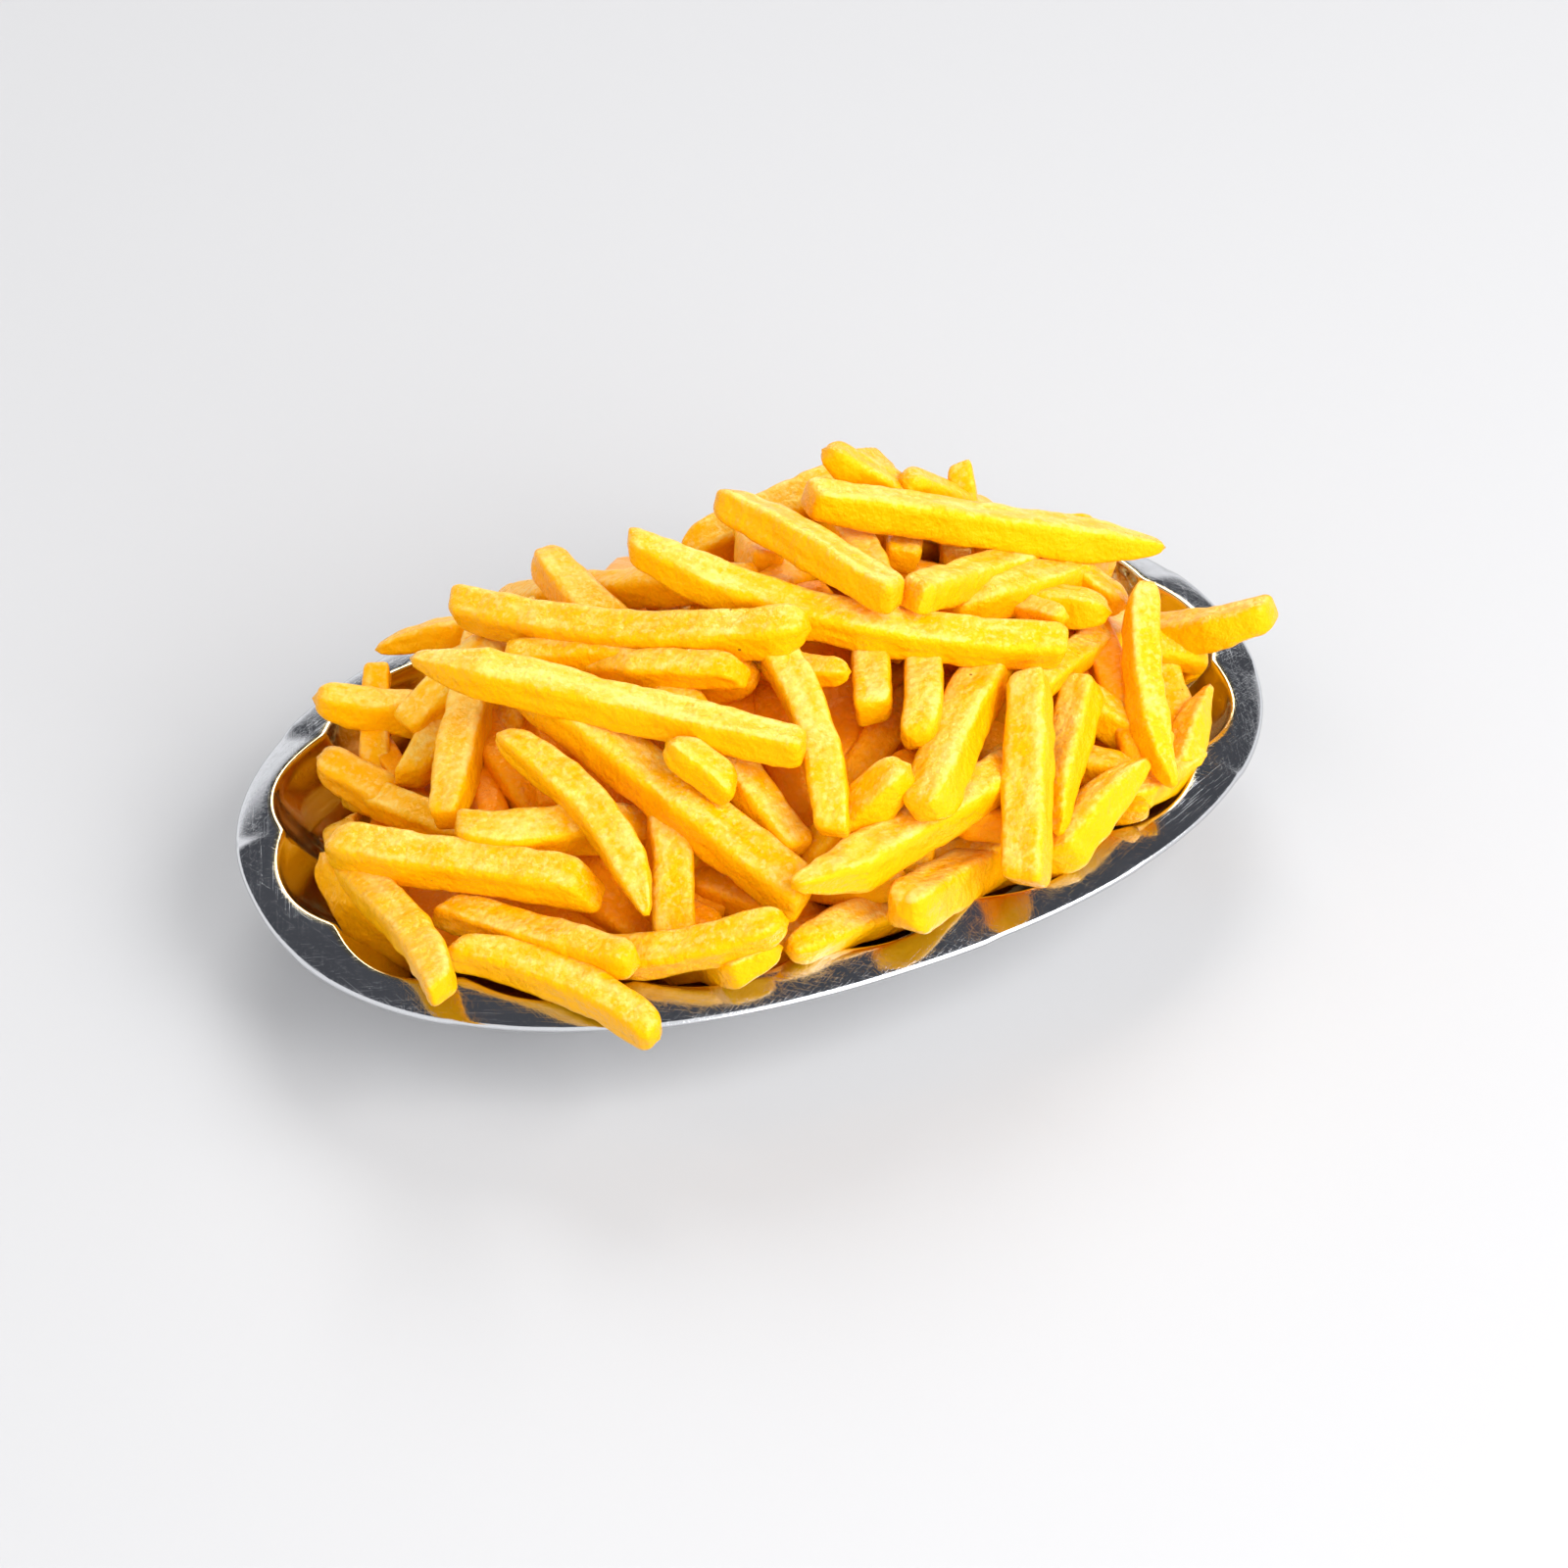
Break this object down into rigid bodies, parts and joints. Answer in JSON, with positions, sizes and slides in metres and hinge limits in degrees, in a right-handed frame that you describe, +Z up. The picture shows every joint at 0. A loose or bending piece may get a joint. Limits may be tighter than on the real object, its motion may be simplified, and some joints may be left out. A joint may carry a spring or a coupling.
{
  "type": "french fries portion",
  "caption": "Heap of thick straight-cut golden fries in an oval fluted steel dish with a sloping flange, some fries hanging over the rim.",
  "frame": {"origin": "middle of the dish's flat underside, on the surface that it stands on", "axes": "+Z up, +X along the dish's length, +Y across it to the back"},
  "size_m": [0.2234, 0.1437, 0.0764],
  "materials": {
    "steel": "polished sheet with fine random scratches",
    "fries": "golden fried potato, finely blistered, slightly oily"
  },
  "bodies": {
    "root": {"dish": "steel", "fries": "fries"}
  },
  "joints": []
}
